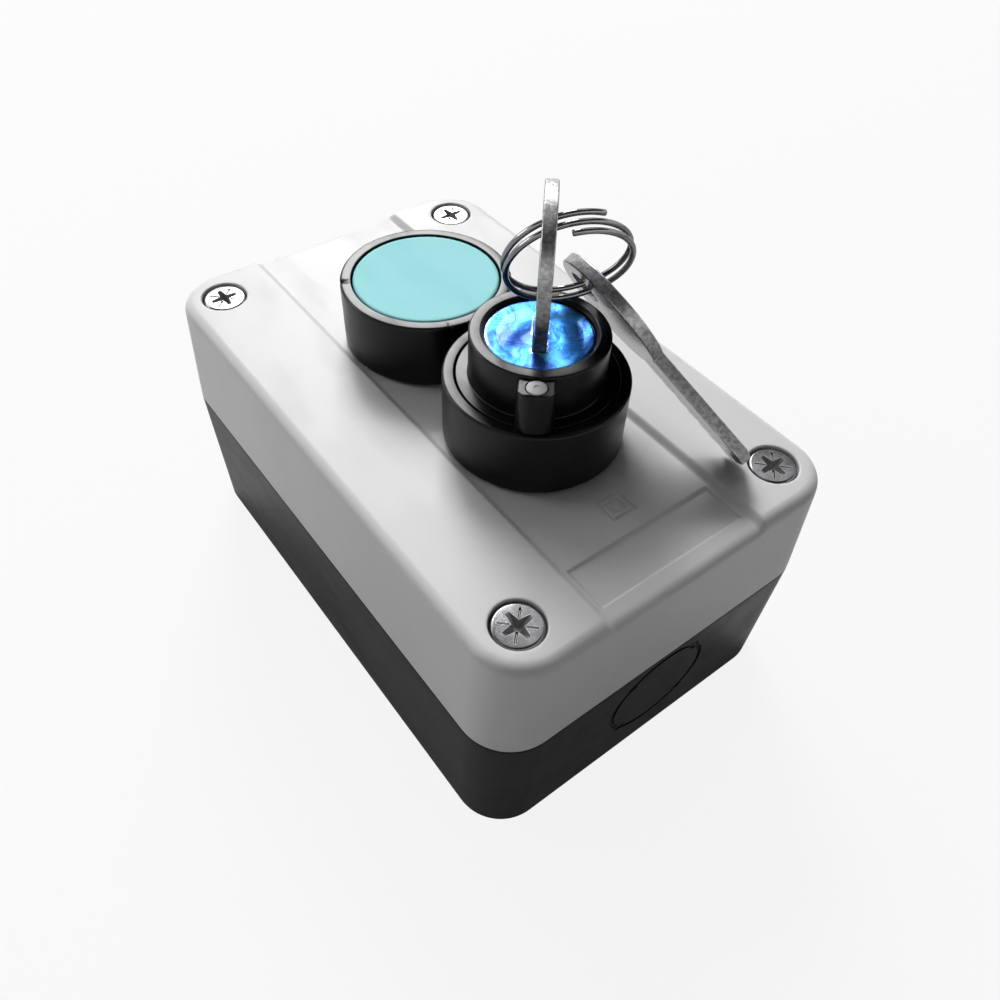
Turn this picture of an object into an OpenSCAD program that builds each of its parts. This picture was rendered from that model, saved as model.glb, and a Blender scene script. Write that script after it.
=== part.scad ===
// Key push button switch: a two-part wall box with a flush push button and a key switch.
// Millimetres, +Z up out of the cover, origin at the centre of the base's flat back.
// The push button stands toward +Y, the key switch and the label recess toward -Y.

/* [Box] */
// Width of the box at its parting line
body_width = 68; // [66:1:80]
// Length of the box at its parting line
body_length = 104; // [102:1:124]
// Height of the base
base_height = 28; // [27:1:40]
// Height of the cover, from the parting line to its screw pads
cover_height = 21; // [20.5:0.5:26]
// Thickness of the walls of base and cover
wall = 2.6; // [2.2:0.2:3]
// Radius of the upright corners at the parting line
corner_radius = 8.7; // [7.5:0.1:10]
// Rounding of the cover's top edge
top_rounding = 1.6; // [1:0.2:2]
// Draft of each long side of the base, from the parting line to its back
base_side_draft = 0.5; // [0.2:0.1:0.8]
// Draft of each short end of the base
base_end_draft = 1.25; // [0.5:0.25:1.5]
// Draft of each long side of the cover
cover_side_draft = 1.2; // [0.4:0.2:1.4]
// Depth of the channel that runs along the cover's face
channel_depth = 1; // [0.6:0.2:1.4]
// Thickness of the cover's face under the channel
panel_thickness = 2.8; // [2.4:0.2:3.2]
// Distance of the cover screws from the long sides
screw_inset_x = 8.7; // [8.4:0.1:9]
// Distance of the cover screws from the short ends
screw_inset_y = 8.1; // [8:0.1:9]
// Diameter of the cover screws' heads
screw_head_diameter = 7.4; // [6.8:0.2:7.6]
// Spacing of the wall fixing holes across the box
fixing_pitch_x = 40; // [36:1:42]
// Spacing of the wall fixing holes along the box
fixing_pitch_y = 74; // [70:1:76]
// Diameter of the wall fixing holes
fixing_hole_diameter = 4.4; // [4:0.2:4.8]
// Diameter of the cable knock-outs in the short ends
knockout_diameter = 20.4; // [16:0.4:20.4]

/* [Heads] */
// Distance between the two heads' axes
head_pitch = 30; // [30:0.5:34]
// How far the pair of heads lies off the middle of the box
heads_shift = -0.2; // [-1:0.2:1]
// Outer diameter of both bezels
bezel_diameter = 29; // [28.4:0.2:29.4]
// Height of a bezel over its sealing ring
bezel_height = 11.5; // [10.5:0.5:13]
// Diameter of the holes that the heads' necks pass through
panel_hole_diameter = 22.4; // [22.3:0.1:22.5]
// Length of a neck below its bezel
neck_length = 14.8; // [14.6:0.1:15]

/* [Push button] */
// Diameter of the button's disc
cap_diameter = 24.8; // [24:0.2:25]
// Thickness of the button's disc
cap_thickness = 2.4; // [2:0.2:3]
// Travel of the button
button_travel = 4.5; // [3.5:0.25:4.5]

/* [Key switch] */
// Diameter of the turning barrel
barrel_diameter = 21; // [20:0.2:21.6]
// Height of the barrel over the bezel
barrel_height = 7.7; // [6.5:0.1:9]
// Direction of the pointer and the key as stored, in degrees from +X
pointer_angle = -131; // [-140:1:-120]
// Width of the pointer
pointer_width = 5.6; // [4.8:0.2:6]
// Distance of the pointer's outer end from the axis
pointer_reach = 13.9; // [13:0.1:14.1]
// How far the cam pushes the contact plunger in a quarter turn
cam_lift = 4; // [3:0.25:4]

/* [Contact blocks] */
// Length of a contact block across the box
block_length = 38; // [36:1:44]
// Width of a contact block
block_width = 9.8; // [9.6:0.2:11]
// Room between the contact blocks and the floor of the base
block_floor_room = 6.2; // [6:0.1:7]

/* [Keys] */
// Diameter of a key's round bow
bow_diameter = 20.5; // [19.5:0.5:20.5]
// Length of a key's blade
blade_length = 20; // [18:0.5:20]
// Width of a key's blade
blade_width = 8; // [7.4:0.2:8.2]
// Thickness of a key
key_thickness = 1.9; // [1.7:0.1:2]
// Diameter of the hole in a key's bow
bow_hole_diameter = 5.5; // [5.4:0.1:6]
// Radius of the split ring at the middle of its wire
ring_radius = 9; // [8.9:0.1:9.2]
// Diameter of the split ring's wire
wire_diameter = 1; // [0.8:0.1:1]
// Advance of the split ring's wire in one turn
ring_pitch = 1.45; // [1.4:0.05:1.5]
// Turns of the split ring's wire
ring_turns = 2.1; // [2:0.05:2.2]

/* [Hidden] */
$fn = 64;

over = 0.5;
slice = 0.02;
fit_gap = 0.05;
free_gap = 0.3;

// heights, from the wall side up
top_z = base_height + cover_height;
panel_z = top_z - channel_depth;
panel_under_z = panel_z - panel_thickness;
seal_thickness = 0.6;
foot_z = panel_z + seal_thickness;
bezel_top_z = foot_z + bezel_height;
neck_end_z = foot_z - neck_length;
cup_floor = 1.2;
cup_floor_z = foot_z + cup_floor;
barrel_top_z = bezel_top_z + barrel_height;

// plan positions of the heads and the screws
green_y = head_pitch / 2 + heads_shift;
key_y = heads_shift - head_pitch / 2;
screw_x = body_width / 2 - screw_inset_x;
screw_y = body_length / 2 - screw_inset_y;

// box
inner_radius = corner_radius - wall;
base_back_width = body_width - 2 * base_side_draft;
base_back_length = body_length - 2 * base_end_draft;
corner_draft = 0.4;
base_back_radius = corner_radius - corner_draft;
base_edge = 0.7;
cover_top_width = body_width - 2 * cover_side_draft;
cover_end_draft = 0.2;
cover_top_length = body_length - 2 * cover_end_draft;
post_radius = 4.5;
rib_thickness = 1.6;
screw_radius = 1.75;
post_bore_radius = 1.8;
boss_bore_radius = 2.1;
screw_length = 30;
screw_recess_depth = 2.5;
screw_recess_play = 0.35;
screw_recess_radius = screw_head_diameter / 2 + screw_recess_play;
screw_head_height = 2.2;
screw_dome = 0.35;
cross_width = 1;
cross_length = 4.6;
cross_depth = 1.3;
fixing_rim_radius = 4.4;
fixing_rim_height = 1;
knockout_margin = 0.8;
knockout_z = base_height - knockout_diameter / 2 - knockout_margin;
knockout_line = 0.9;
knockout_line_depth = 0.6;
groove_inset = 0.8;
groove_width = 1;
groove_depth = 1.2;
channel_slope = 0.4;
channel_floor_half = bezel_diameter / 2 + free_gap;
channel_top_half = channel_floor_half + channel_slope;
label_half_width = 14.2;
label_inset = 4;
label_length = 7.4;
label_front_y = -body_length / 2 + label_inset;
label_back_y = label_front_y + label_length;
label_depth = 0.4;
mark_inset = 5.2;
mark_y = label_back_y + mark_inset;
mark_outer = 4.6;
mark_inner = 2.6;
mark_line = 0.35;
mark_depth = 0.2;

// heads
bezel_radius = bezel_diameter / 2;
bezel_edge = 0.6;
cap_radius = cap_diameter / 2;
cup_radius = cap_radius + free_gap;
neck_radius = 11;
neck_bore_radius = 9.2;
guide_radius = neck_bore_radius - fit_gap;
seal_radius = 14;
neck_clear_radius = neck_radius + fit_gap;
nut_height = 4;
nut_radius = 13.5;
nut_notch_width = 2;
nut_notch_depth = 1;
nut_notches = 8;
plate_height = 7;
plate_width = 28;
plate_length = 28.4;
plate_corner = 3;
clip_length = 6;
clip_thickness = 1.4;
clip_depth = 4;

// push button
sink = 0.1;
cap_top_z = bezel_top_z - sink;
cap_under_z = cap_top_z - cap_thickness;
cap_edge = 0.5;
stem_end_z = neck_end_z + button_travel + over;
stem_bore_radius = 7.4;
stem_web = 2;
rod_radius = 2.2;
rod_over = 0.4;
rod_end_z = neck_end_z + rod_over;
return_spring_radius = 10.9;
return_spring_wire = 1;
return_spring_turns = 3.5;

// contact blocks
block_top_z = neck_end_z;
block_bottom_z = wall + block_floor_room;
block_height = block_top_z - block_bottom_z;
block_skin = 2;
cavity_half_x = 12;
cavity_half_y = 3.7;
cavity_floor_z = block_bottom_z + block_skin;
plunger_radius = 2.3;
plunger_hole_radius = 2.6;
contact_spring_room = 9.2;
plunger_end_z = cavity_floor_z + contact_spring_room;
bridge_foot = 1;
bridge_z = plunger_end_z + bridge_foot;
bridge_half_length = 9;
bridge_width = 3;
bridge_thickness = 1.2;
contact_spring_radius = 1.7;
contact_spring_wire = 0.6;
contact_spring_turns = 6;
spring_steps = 14;
strip = 1;
strip_width = 4;
riser_x = 10.9;
riser_slot = 1.2;
tip_x = 6;
tab_end_x = 18.5;
terminal_x = 15.5;
terminal_bore_radius = 1.8;
terminal_depth = 5;
terminal_head_radius = 3;
terminal_head = 2;
terminal_slot = 3.4;
terminal_slot_depth = 1;
washer_size = 6.6;
washer = 1;

// key switch
shoulder_radius = cap_radius - sink;
shoulder_top_z = bezel_top_z - sink;
shoulder_under_z = cup_floor_z + rod_over;
barrel_radius = barrel_diameter / 2;
barrel_edge = 0.5;
face_recess_radius = 8.3;
face_radius = 8.2;
face_drop = 0.7;
face_thickness = 0.5;
face_z = barrel_top_z - face_drop - face_thickness;
face_dish = 0.2;
face_rim = 1;
plug_radius = 7.4;
plug_bore_radius = plug_radius + fit_gap;
keyway_width = blade_width + 2 * free_gap;
keyway_thickness = key_thickness + 2 * free_gap;
plug_foot = 2.4;
plug_end_z = foot_z - plug_foot;
cam_radius = neck_bore_radius - free_gap;
cam_drum = 4.8;
cam_drum_z = plug_end_z - cam_drum;
ramp_inner_radius = 4.6;
ramp_width = 2;
ramp_steps = 6;
follower_gap = 1;
follower_top_z = cam_drum_z - follower_gap;
follower_thickness = 2;
follower_width = 2.4;
follower_half_length = ramp_inner_radius + ramp_width;
pointer_inner = 8.9;
pointer_corner = 1.4;
pointer_gap = 0.3;
pointer_drop = 0.5;
pointer_top_z = barrel_top_z - pointer_drop;
pointer_foot_z = bezel_top_z + pointer_gap;
dot_radius = 1.55;
dot_inset = 1.9;
dot_depth = 0.4;
dot_proud = 0.1;

// keys
bow_radius = bow_diameter / 2;
bow_gap = 1.7;
bow_z = barrel_top_z + bow_gap;
key_tip_z = bow_z - blade_length;
keyway_floor_z = key_tip_z - over;
bow_hole_drop = 5;
bow_hole_up = bow_diameter - bow_hole_drop;
bow_hole_z = bow_z + bow_hole_up;
tip_bevel = 1.8;
bitting_pitch = 2.6;
deep_cut = 1.1;
shallow_cut = 0.7;
bitting_cuts = 5;
groove_cut_width = 1.1;
groove_cut_depth = 0.45;
groove_cut_x = 1.4;

// the split ring hangs from the inserted key's bow and lies back toward the barrel's far rim
ring_shift = [4.72, 0.8, -7.56];
ring_centre = [ring_shift.x, key_y + ring_shift.y, bow_hole_z + ring_shift.z];
ring_tilt = 65.6;
ring_azimuth = 65.9;
ring_start = 171;
ring_steps = 24;
ring_sides = 6;

// the spare key leans past the barrel, its tip just over the cover
spare_shift = [10.41, 1.64, -14.09];
spare_hole = [spare_shift.x, key_y + spare_shift.y, bow_hole_z + spare_shift.z];
spare_turn = [-44.9, 39.83, 50.9];

// a rectangle with round corners, about the origin
module rounded(w, l, r) {
    square([w - 2 * r, l], center = true);
    square([w, l - 2 * r], center = true);
    for (x = [-1, 1], y = [-1, 1]) translate([x * (w / 2 - r), y * (l / 2 - r)]) circle(r = r);
}

module plate(w, l, r, z, h) {
    translate([0, 0, z]) linear_extrude(height = h) rounded(w, l, r);
}

module at_screws() {
    for (x = [-1, 1], y = [-1, 1]) translate([x * screw_x, y * screw_y, 0]) children();
}

// points of a helix about +Z that starts at height zero
function helix(radius, pitch, turns, steps, start = 0) = [
    for (i = [0:ceil(turns * steps)])
        let (t = min(i / steps, turns), a = start + 360 * t)
        [radius * cos(a), radius * sin(a), pitch * t]
];

// least distance between the surfaces of two turns, measured over all pairs of points
function turn_gap(points, steps, wire) = min([
    for (i = [0:len(points) - 1], j = [0:len(points) - 1])
        if (j - i > steps / 2) norm(points[i] - points[j])
]) - wire;

// a round wire along a helix, as one closed skin of triangles
module coil(radius, wire, pitch, turns, steps, sides, start = 0) {
    path = helix(radius, pitch, turns, steps, start);
    count = len(path);
    skin = [
        for (i = [0:count - 1])
            let (
                out = [path[i].x, path[i].y, 0] / radius,
                ahead = [-out.y * 2 * PI * radius, out.x * 2 * PI * radius, pitch],
                up = cross(ahead, out) / norm(cross(ahead, out))
            )
            for (k = [0:sides - 1])
                path[i] - (out * cos(360 * k / sides) + up * sin(360 * k / sides)) * wire / 2
    ];
    walls = [
        for (i = [0:count - 2], k = [0:sides - 1])
            let (a = i * sides + k, b = i * sides + (k + 1) % sides)
            each [[a, b, a + sides], [b, b + sides, a + sides]]
    ];
    first = [for (k = [1:sides - 2]) [0, k + 1, k]];
    last = [for (k = [1:sides - 2]) let (e = (count - 1) * sides) [e, e + k, e + k + 1]];
    polyhedron(points = skin, faces = concat(walls, first, last));
}

module base() {
    color([0.06, 0.06, 0.065]) difference() {
        union() {
            difference() {
                hull() {
                    plate(base_back_width - 2 * base_edge, base_back_length - 2 * base_edge,
                          base_back_radius - base_edge, 0, slice);
                    plate(base_back_width, base_back_length, base_back_radius, base_edge, slice);
                    plate(body_width, body_length, corner_radius, base_height - slice, slice);
                }
                hull() {
                    plate(base_back_width - 2 * wall, base_back_length - 2 * wall,
                          base_back_radius - wall, wall, slice);
                    plate(body_width - 2 * wall, body_length - 2 * wall, inner_radius, base_height, slice);
                }
            }
            at_screws() translate([0, 0, wall / 2]) cylinder(r = post_radius, h = base_height - wall / 2);
            post_ribs(wall / 2, base_height - wall / 2);
            for (x = [-1, 1], y = [-1, 1])
                translate([x * fixing_pitch_x / 2, y * fixing_pitch_y / 2, wall / 2])
                    cylinder(r = fixing_rim_radius, h = wall / 2 + fixing_rim_height);
        }
        seal_band(groove_depth + over);
        at_screws() translate([0, 0, base_height / 2]) cylinder(r = post_bore_radius, h = base_height);
        for (x = [-1, 1], y = [-1, 1])
            translate([x * fixing_pitch_x / 2, y * fixing_pitch_y / 2, -over])
                cylinder(d = fixing_hole_diameter, h = wall + fixing_rim_height + 2 * over);
        for (side = [0, 180]) rotate([0, 0, side]) knockout_line();
    }
}

// band that runs round the base's rim, from the floor of its seal groove up
module seal_band(h) {
    inner = groove_inset + groove_width;
    difference() {
        plate(body_width - 2 * groove_inset, body_length - 2 * groove_inset,
              corner_radius - groove_inset, base_height - groove_depth, h);
        plate(body_width - 2 * inner, body_length - 2 * inner,
              corner_radius - inner, base_height - groove_depth - over, h + 2 * over);
    }
}

// the round score of a cable knock-out, square to the drafted end wall
module knockout_line() {
    end_tilt = atan(base_end_draft / base_height);
    wall_y = -(base_back_length / 2 + base_end_draft * knockout_z / base_height);
    translate([0, wall_y + knockout_line_depth, knockout_z]) rotate([90 - end_tilt, 0, 0]) difference() {
        cylinder(d = knockout_diameter, h = 2 * knockout_line_depth);
        translate([0, 0, -over])
            cylinder(d = knockout_diameter - 2 * knockout_line, h = 2 * (knockout_line_depth + over));
    }
}

// webs that tie the screw posts to the side and end walls
module post_ribs(z, h) {
    web_x = body_width / 2 - wall / 2 - screw_x;
    web_y = body_length / 2 - base_end_draft - wall / 2 - screw_y;
    for (x = [-1, 1], y = [-1, 1]) {
        translate([x * (screw_x + web_x / 2), y * screw_y, z + h / 2])
            cube([web_x - base_side_draft - cover_side_draft, rib_thickness, h], center = true);
        translate([x * screw_x, y * (screw_y + web_y / 2), z + h / 2])
            cube([rib_thickness, web_y, h], center = true);
    }
}

module cover() {
    color([0.86, 0.86, 0.86]) difference() {
        union() {
            difference() {
                hull() {
                    plate(body_width, body_length, corner_radius, base_height, slice);
                    for (a = [0:18:90]) {
                        inset = 2 * top_rounding * (1 - cos(a));
                        plate(cover_top_width - inset, cover_top_length - inset, corner_radius - inset / 2,
                              top_z - top_rounding * (1 - sin(a)) - slice, slice);
                    }
                }
                hull() {
                    plate(body_width - 2 * wall, body_length - 2 * wall, inner_radius,
                          base_height - slice, slice);
                    plate(cover_top_width - 2 * wall, cover_top_length - 2 * wall, inner_radius,
                          panel_under_z - slice, slice);
                }
            }
            at_screws() translate([0, 0, base_height])
                cylinder(r = post_radius, h = panel_under_z + panel_thickness / 2 - base_height);
            post_ribs(base_height + over, panel_under_z - base_height);
        }
        channel();
        for (y = [green_y, key_y])
            translate([0, y, panel_under_z - over])
                cylinder(d = panel_hole_diameter, h = panel_thickness + 2 * over);
        at_screws() {
            translate([0, 0, base_height - over]) cylinder(r = boss_bore_radius, h = cover_height);
            translate([0, 0, top_z - screw_recess_depth])
                cylinder(r = screw_recess_radius, h = cover_height);
        }
    }
}

// the lengthwise channel with its sloped sides, the label recess and the moulded square
module channel() {
    rotate([90, 0, 0]) translate([0, 0, -body_length])
        linear_extrude(height = 2 * body_length) polygon([
            [-channel_floor_half, panel_z], [channel_floor_half, panel_z],
            [channel_top_half, top_z], [channel_top_half, top_z + over],
            [-channel_top_half, top_z + over], [-channel_top_half, top_z]
        ]);
    translate([-label_half_width, label_front_y, panel_z - label_depth])
        cube([2 * label_half_width, label_back_y - label_front_y, label_depth + over]);
    for (side = [mark_outer, mark_inner])
        translate([0, mark_y, panel_z - mark_depth])
            linear_extrude(height = mark_depth + over) difference() {
                square(side, center = true);
                square(side - 2 * mark_line, center = true);
            }
}

module cover_seal() {
    color([0.12, 0.12, 0.12]) seal_band(groove_depth);
}

module cover_screws() {
    head_z = top_z - screw_recess_depth;
    head_radius = screw_head_diameter / 2;
    color([0.75, 0.76, 0.77]) at_screws() translate([0, 0, head_z]) {
        difference() {
            rotate_extrude() polygon([
                [0, 0], [head_radius, 0], [head_radius, screw_head_height - screw_dome],
                [head_radius - screw_dome, screw_head_height], [0, screw_head_height]
            ]);
            for (turn = [45, 135]) rotate([0, 0, turn]) translate([0, 0, screw_head_height])
                cube([cross_length, cross_width, 2 * cross_depth], center = true);
        }
        translate([0, 0, -screw_length]) cylinder(r = screw_radius, h = screw_length + over);
    }
}

// bezel with its cup, its neck and the guide bore, alike for both heads
module head_bezel(y) {
    color([0.05, 0.05, 0.05]) translate([0, y, 0]) rotate_extrude() polygon([
        [neck_bore_radius, neck_end_z], [neck_radius, neck_end_z], [neck_radius, foot_z],
        [bezel_radius, foot_z], [bezel_radius, bezel_top_z - bezel_edge],
        [bezel_radius - bezel_edge, bezel_top_z],
        [cup_radius, bezel_top_z], [cup_radius, cup_floor_z], [neck_bore_radius, cup_floor_z]
    ]);
}

module head_seal(y) {
    color([0.1, 0.1, 0.1]) translate([0, y, panel_z]) difference() {
        cylinder(r = seal_radius, h = seal_thickness);
        translate([0, 0, -over]) cylinder(r = neck_clear_radius, h = seal_thickness + 2 * over);
    }
}

module head_nut(y) {
    color([0.2, 0.2, 0.2]) translate([0, y, panel_under_z - nut_height]) difference() {
        cylinder(r = nut_radius, h = nut_height);
        translate([0, 0, -over]) cylinder(r = neck_clear_radius, h = nut_height + 2 * over);
        for (i = [0:nut_notches - 1]) rotate([0, 0, 360 * i / nut_notches])
            translate([nut_radius - nut_notch_depth, -nut_notch_width / 2, -over])
                cube([2 * nut_notch_depth, nut_notch_width, nut_height + 2 * over]);
    }
}

// plate on a head's neck, with the two clips that hold the contact block
module head_plate(y) {
    color([0.25, 0.25, 0.27]) translate([0, y, 0]) difference() {
        union() {
            plate(plate_width, plate_length, plate_corner, neck_end_z, plate_height);
            for (side = [-1, 1], x = [-1, 1])
                translate([x * (plate_width - clip_length) / 2,
                           side * (block_width / 2 + clip_thickness / 2 + fit_gap),
                           neck_end_z - clip_depth / 2 + over / 2])
                    cube([clip_length, clip_thickness, clip_depth + over], center = true);
        }
        translate([0, 0, neck_end_z - over])
            cylinder(r = neck_clear_radius, h = plate_height + 2 * over);
    }
}

module contact_block(y) {
    color([0.82, 0.82, 0.8]) translate([0, y, 0]) difference() {
        translate([-block_length / 2, -block_width / 2, block_bottom_z])
            cube([block_length, block_width, block_height]);
        translate([-cavity_half_x, -cavity_half_y, cavity_floor_z])
            cube([2 * cavity_half_x, 2 * cavity_half_y, block_height - 2 * block_skin]);
        translate([0, 0, block_top_z - block_skin - over])
            cylinder(r = plunger_hole_radius, h = block_skin + 2 * over);
        for (side = [-1, 1]) {
            translate([side * (riser_x + strip / 2), 0, block_bottom_z])
                cube([riser_slot, strip_width + 2 * fit_gap, 3 * block_skin], center = true);
            translate([side * terminal_x, 0, block_bottom_z - over])
                cylinder(r = terminal_bore_radius, h = terminal_depth + over);
        }
    }
}

// fixed contacts: a tab under the block, a riser through its floor and a tip under the bridge
module fixed_contacts(y, travel) {
    tip_z = bridge_z - travel - free_gap;
    color([0.8, 0.62, 0.3]) translate([0, y, 0]) for (side = [0, 180]) rotate([0, 0, side]) {
        difference() {
            translate([riser_x, -strip_width / 2, block_bottom_z - strip])
                cube([tab_end_x - riser_x, strip_width, strip]);
            translate([terminal_x, 0, block_bottom_z - strip - over])
                cylinder(r = terminal_bore_radius, h = strip + 2 * over);
        }
        translate([riser_x, -strip_width / 2, block_bottom_z - strip])
            cube([strip, strip_width, tip_z - block_bottom_z + strip]);
        translate([tip_x, -strip_width / 2, tip_z - strip])
            cube([riser_x - tip_x + strip, strip_width, strip]);
    }
}

// clamp screws with their square washers, heads toward the wall side
module terminals(y) {
    washer_z = block_bottom_z - strip - washer;
    color([0.7, 0.71, 0.72]) for (side = [-1, 1]) translate([side * terminal_x, y, washer_z]) difference() {
        union() {
            translate([-washer_size / 2, -washer_size / 2, 0]) cube([washer_size, washer_size, washer]);
            translate([0, 0, -terminal_head])
                cylinder(r = terminal_head_radius, h = terminal_head + washer / 2);
            cylinder(r = screw_radius, h = washer + strip + terminal_depth - free_gap);
        }
        for (turn = [0, 90]) rotate([0, 0, turn]) translate([0, 0, -terminal_head])
            cube([terminal_slot, cross_width, 2 * terminal_slot_depth], center = true);
    }
}

module plunger_shaft(top) {
    difference() {
        translate([0, 0, plunger_end_z]) cylinder(r = plunger_radius, h = top - plunger_end_z);
        translate([0, 0, bridge_z + bridge_thickness / 2])
            cube([3 * plunger_radius, bridge_width + 2 * fit_gap, bridge_thickness + 2 * fit_gap],
                 center = true);
    }
}

module bridge(y) {
    color([0.78, 0.6, 0.28]) translate([-bridge_half_length, y - bridge_width / 2, bridge_z])
        cube([2 * bridge_half_length, bridge_width, bridge_thickness]);
}

module contact_spring(y) {
    bottom = cavity_floor_z + contact_spring_wire / 2 + fit_gap;
    rise = plunger_end_z - cavity_floor_z - contact_spring_wire - 2 * fit_gap;
    color([0.7, 0.7, 0.72]) translate([0, y, bottom])
        coil(contact_spring_radius, contact_spring_wire, rise / contact_spring_turns,
             contact_spring_turns, spring_steps, ring_sides);
}

module button_bezel() { head_bezel(green_y); }
module button_seal() { head_seal(green_y); }
module button_nut() { head_nut(green_y); }
module button_plate() { head_plate(green_y); }
module button_block() { contact_block(green_y); }
module button_bridge() { bridge(green_y); }
module button_contact_spring() { contact_spring(green_y); }
module button_contacts() { fixed_contacts(green_y, button_travel); }
module button_terminals() { terminals(green_y); }

module button_cap() {
    color([0.45, 0.82, 0.76]) translate([0, green_y, 0]) rotate_extrude() polygon([
        [0, cap_under_z], [cap_radius, cap_under_z], [cap_radius, cap_top_z - cap_edge],
        [cap_radius - cap_edge, cap_top_z], [0, cap_top_z]
    ]);
}

// hollow guide under the disc, with the rod that meets the contact plunger
module button_stem() {
    color([0.15, 0.15, 0.16]) translate([0, green_y, 0]) rotate_extrude() polygon([
        [0, rod_end_z], [rod_radius, rod_end_z], [rod_radius, stem_end_z], [guide_radius, stem_end_z],
        [guide_radius, cap_under_z], [stem_bore_radius, cap_under_z],
        [stem_bore_radius, stem_end_z + stem_web], [0, stem_end_z + stem_web]
    ]);
}

module button_spring() {
    bottom = cup_floor_z + return_spring_wire / 2 + fit_gap;
    rise = cap_under_z - cup_floor_z - return_spring_wire - 2 * fit_gap;
    color([0.7, 0.7, 0.72]) translate([0, green_y, bottom])
        coil(return_spring_radius, return_spring_wire, rise / return_spring_turns,
             return_spring_turns, spring_steps, ring_sides);
}

module button_plunger() {
    color([0.9, 0.9, 0.9]) translate([0, green_y, 0]) plunger_shaft(rod_end_z - free_gap);
}

module key_bezel() { head_bezel(key_y); }
module key_seal() { head_seal(key_y); }
module key_nut() { head_nut(key_y); }
module key_plate() { head_plate(key_y); }
module key_block() { contact_block(key_y); }
module key_bridge() { bridge(key_y); }
module key_contact_spring() { contact_spring(key_y); }
module key_contacts() { fixed_contacts(key_y, cam_lift); }
module key_terminals() { terminals(key_y); }

module at_pointer() {
    translate([0, key_y, 0]) rotate([0, 0, pointer_angle]) children();
}

// pointer's outline seen from above, along +X
module pointer_outline() {
    translate([(pointer_inner + pointer_reach) / 2, 0])
        rounded(pointer_reach - pointer_inner, pointer_width, pointer_corner);
}

module key_barrel() {
    color([0.05, 0.05, 0.05]) at_pointer() difference() {
        union() {
            rotate_extrude() polygon([
                [plug_bore_radius, plug_end_z], [guide_radius, plug_end_z],
                [guide_radius, shoulder_under_z],
                [shoulder_radius, shoulder_under_z], [shoulder_radius, shoulder_top_z],
                [barrel_radius, shoulder_top_z], [barrel_radius, barrel_top_z - barrel_edge],
                [barrel_radius - barrel_edge, barrel_top_z],
                [face_recess_radius, barrel_top_z], [face_recess_radius, face_z], [plug_bore_radius, face_z]
            ]);
            translate([0, 0, pointer_foot_z])
                linear_extrude(height = pointer_top_z - pointer_foot_z) pointer_outline();
            translate([0, 0, shoulder_top_z - over])
                linear_extrude(height = pointer_foot_z - shoulder_top_z + 2 * over) intersection() {
                    pointer_outline();
                    circle(r = shoulder_radius - fit_gap);
                }
        }
        translate([pointer_reach - dot_inset, 0, pointer_top_z - dot_depth])
            cylinder(r = dot_radius, h = dot_depth + over);
    }
}

module pointer_dot() {
    color([0.95, 0.95, 0.95]) at_pointer()
        translate([pointer_reach - dot_inset, 0, pointer_top_z - dot_depth])
            cylinder(r = dot_radius, h = dot_depth + dot_proud);
}

module keyway(z, h) {
    translate([-keyway_width / 2, -keyway_thickness / 2, z]) cube([keyway_width, keyway_thickness, h]);
}

module lock_face() {
    face_top_z = face_z + face_thickness;
    color([0.1, 0.55, 0.9]) at_pointer() difference() {
        rotate_extrude() polygon([
            [0, face_z], [face_radius, face_z], [face_radius, face_top_z],
            [face_radius - face_rim, face_top_z], [face_radius - 2 * face_rim, face_top_z - face_dish],
            [0, face_top_z - face_dish]
        ]);
        keyway(face_z - over, face_thickness + 2 * over);
    }
}

module lock_plug() {
    color([0.72, 0.66, 0.5]) at_pointer() difference() {
        translate([0, 0, plug_end_z]) cylinder(r = plug_radius, h = face_z - plug_end_z);
        keyway(keyway_floor_z, barrel_top_z - keyway_floor_z);
    }
}

// drum under the plug with two stepped ramps that push the plunger's crosshead down
module key_cam() {
    color([0.88, 0.88, 0.86]) translate([0, key_y, 0]) {
        translate([0, 0, cam_drum_z]) cylinder(r = cam_radius, h = cam_drum);
        for (side = [0, 180]) rotate([0, 0, side]) translate([0, 0, cam_drum_z]) cam_ramp();
    }
}

// a quarter ring whose underside falls away in equal steps
module cam_ramp() {
    step_angle = 90 / ramp_steps;
    difference() {
        rotate([0, 0, step_angle]) rotate_extrude(angle = 90)
            translate([ramp_inner_radius, -cam_lift]) square([ramp_width, cam_lift + over]);
        for (k = [1:ramp_steps - 1]) rotate([0, 0, step_angle * (k + 1)])
            translate([-cam_radius, -cam_radius, -cam_lift - over])
                cube([2 * cam_radius, cam_radius, over + cam_lift * (1 - k / ramp_steps)]);
    }
}

module key_plunger() {
    color([0.9, 0.9, 0.9]) translate([0, key_y, 0]) {
        plunger_shaft(follower_top_z - follower_thickness / 2);
        translate([0, 0, follower_top_z - follower_thickness / 2])
            cube([2 * follower_half_length, follower_width, follower_thickness], center = true);
    }
}

// a key with its bow's lower edge at the origin, blade down -Z and flat across Y
module key_shape() {
    half = blade_width / 2;
    difference() {
        rotate([90, 0, 0]) translate([0, 0, -key_thickness / 2]) linear_extrude(height = key_thickness)
            difference() {
                union() {
                    translate([0, bow_radius]) circle(r = bow_radius);
                    polygon([
                        [-half, bow_radius / 2], [-half, tip_bevel - blade_length],
                        [tip_bevel - half, -blade_length], [half - tip_bevel, -blade_length],
                        [half, tip_bevel - blade_length], [half, bow_radius / 2]
                    ]);
                }
                translate([0, bow_hole_up]) circle(d = bow_hole_diameter);
                for (i = [0:bitting_cuts - 1])
                    translate([-half, 2 * tip_bevel - blade_length + i * bitting_pitch])
                        rotate([0, 0, 45]) square(i % 2 == 0 ? deep_cut : shallow_cut, center = true);
            }
        for (side = [-1, 1])
            translate([side * groove_cut_x, side * key_thickness / 2, -blade_length / 2])
                cube([groove_cut_width, 2 * groove_cut_depth, blade_length], center = true);
    }
}

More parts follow.
